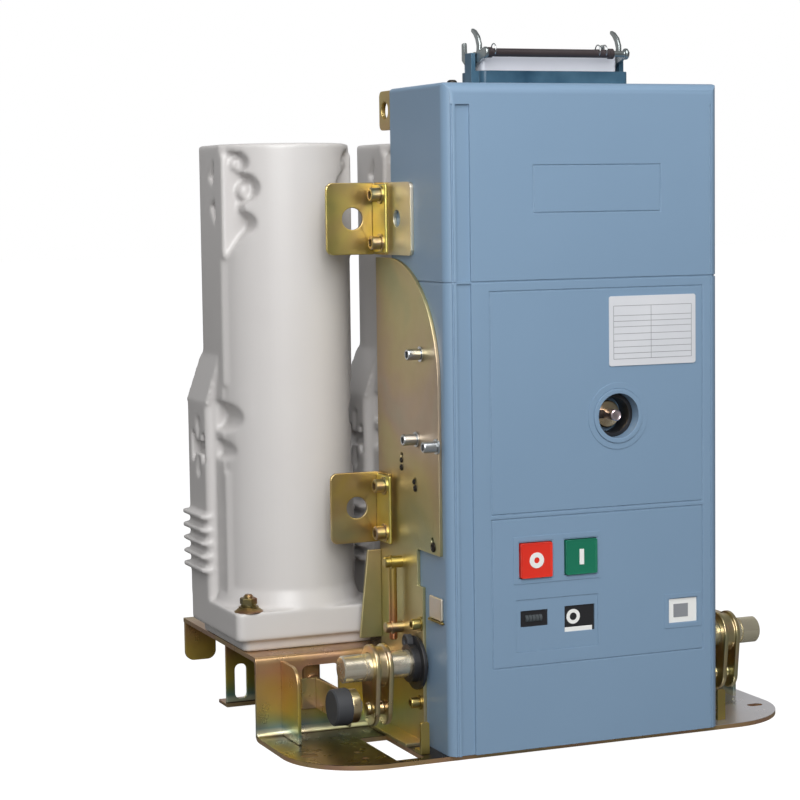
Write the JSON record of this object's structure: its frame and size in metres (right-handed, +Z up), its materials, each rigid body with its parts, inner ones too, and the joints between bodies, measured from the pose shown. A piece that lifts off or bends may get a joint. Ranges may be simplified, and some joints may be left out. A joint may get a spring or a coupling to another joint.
{
  "type": "vacuum circuit breaker",
  "caption": "Indoor vacuum circuit breaker: blue front drive housing, moulded poles behind it, zinc-plated steel base, switching shaft and side brackets.",
  "frame": {"origin": "middle of the footprint, on the floor", "axes": "+X right across the front, +Y back from the front cover, +Z up"},
  "size_m": [0.4606, 0.3364, 0.578],
  "materials": {
    "zinc_steel": "yellow chromated zinc",
    "cover_blue": "satin grey blue moulding",
    "white_plate": "satin white",
    "brass": "turned",
    "button_red": "gloss red",
    "button_green": "gloss green",
    "black_plastic": "satin black",
    "connector_blue": "painted grey blue",
    "cast_aluminium": "die cast",
    "bright_steel": "bright zinc",
    "pole_resin": "satin light grey resin",
    "copper": "silver-plated copper",
    "black_rubber": "moulded rubber"
  },
  "bodies": {
    "frame": {"base_frame": "zinc_steel", "front_gussets": "zinc_steel", "frame_rib_left": "zinc_steel", "frame_rib_right": "zinc_steel", "rear_leg_left": "zinc_steel", "rear_leg_right": "zinc_steel", "front_ears": "zinc_steel", "side_plate_left": "zinc_steel", "side_plate_right": "zinc_steel", "pad_plate_left": "zinc_steel", "pad_plate_right": "zinc_steel", "upper_bracket_left": "zinc_steel", "upper_bracket_right": "zinc_steel", "lower_bracket_left": "zinc_steel", "lower_bracket_right": "zinc_steel", "lower_cover": "cover_blue", "upper_cover": "cover_blue", "rear_panel": "zinc_steel", "lifting_lugs": "zinc_steel", "data_plate": "white_plate", "indicator_bezel": "cover_blue", "cycle_counter": "black_plastic", "position_flag": "black_plastic", "spring_flag": "white_plate", "connector_base": "connector_blue", "connector_body": "cast_aluminium", "connector_insert": "black_plastic", "pole_left": "pole_resin", "pole_middle": "pole_resin", "pole_right": "pole_resin", "upper_terminals": "copper", "lower_terminals": "copper", "pole_drives": "black_plastic", "bearing_left": "black_plastic", "bearing_right": "black_plastic", "rubber_stop": "black_rubber", "stop_bracket": "zinc_steel", "tie_rod": "zinc_steel"},
    "drive_shaft": {"shaft": "zinc_steel", "lever_left": "zinc_steel", "lever_right": "zinc_steel"},
    "off_key": {"off_button": "button_red"},
    "on_key": {"on_button": "button_green"},
    "crank": {"crank_shaft": "brass"},
    "connector_lock": {"lock_lever": "bright_steel"}
  },
  "joints": [
    {"name": "off_press", "type": "slide", "parent": "frame", "child": "off_key", "axis": [0, 1, 0], "range_m": [0, 0.004], "stiffness_N_per_m": 800, "springref_m": -0.002},
    {"name": "on_press", "type": "slide", "parent": "frame", "child": "on_key", "axis": [0, 1, 0], "range_m": [0, 0.004], "stiffness_N_per_m": 800, "springref_m": -0.002},
    {"name": "crank_turn", "type": "hinge", "parent": "frame", "child": "crank", "pos_m": [0.05025, -0.15375, 0.268], "axis": [0, 1, 0], "continuous": true},
    {"name": "shaft_turn", "type": "hinge", "parent": "frame", "child": "drive_shaft", "pos_m": [0.02225, -0.10575, 0.07], "axis": [1, 0, 0], "range_deg": [0, 50]},
    {"name": "lock_swing", "type": "hinge", "parent": "frame", "child": "connector_lock", "pos_m": [0.01025, -0.11975, 0.553], "axis": [1, 0, 0], "range_deg": [0, 30]}
  ]
}
